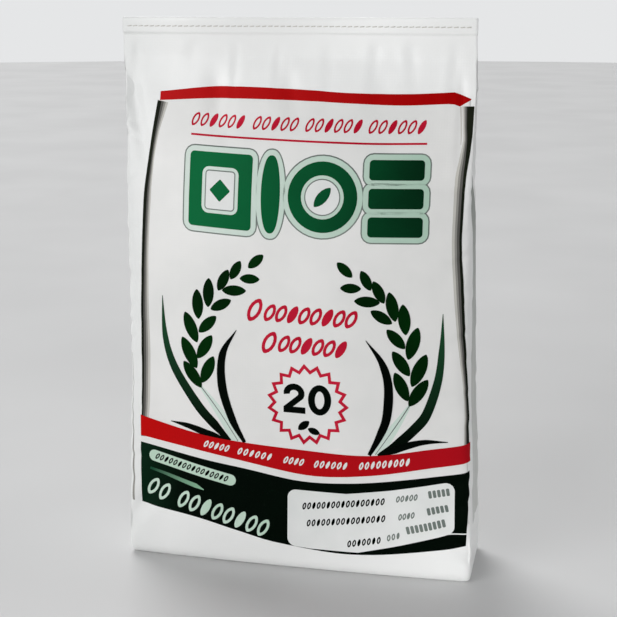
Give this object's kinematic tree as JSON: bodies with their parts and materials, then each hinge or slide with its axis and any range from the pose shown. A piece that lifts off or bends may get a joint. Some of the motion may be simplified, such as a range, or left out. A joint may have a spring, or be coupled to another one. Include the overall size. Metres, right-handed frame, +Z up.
{
  "type": "rice sack",
  "caption": "Filled upright rice sack of white woven plastic with side gussets and a folded, sewn-flat top, printed in red and green.",
  "frame": {"origin": "middle of the flat base, on the surface that the sack stands on", "axes": "+Z up along the sack's height, -Y out of the printed front, +X to the right as seen from the front"},
  "size_m": [0.4237, 0.126, 0.64],
  "materials": {
    "woven_plastic": "white laminated woven polypropylene, satin to semi-gloss",
    "red_ink": "red print under clear laminate",
    "green_ink": "mid green print under clear laminate",
    "dark_green_ink": "very dark green print under clear laminate",
    "pale_green_ink": "pale green print under clear laminate",
    "grey_ink": "grey print under clear laminate",
    "thread": "twisted cotton-polyester sewing thread"
  },
  "bodies": {
    "root": {"sack": "woven_plastic"}
  },
  "joints": []
}
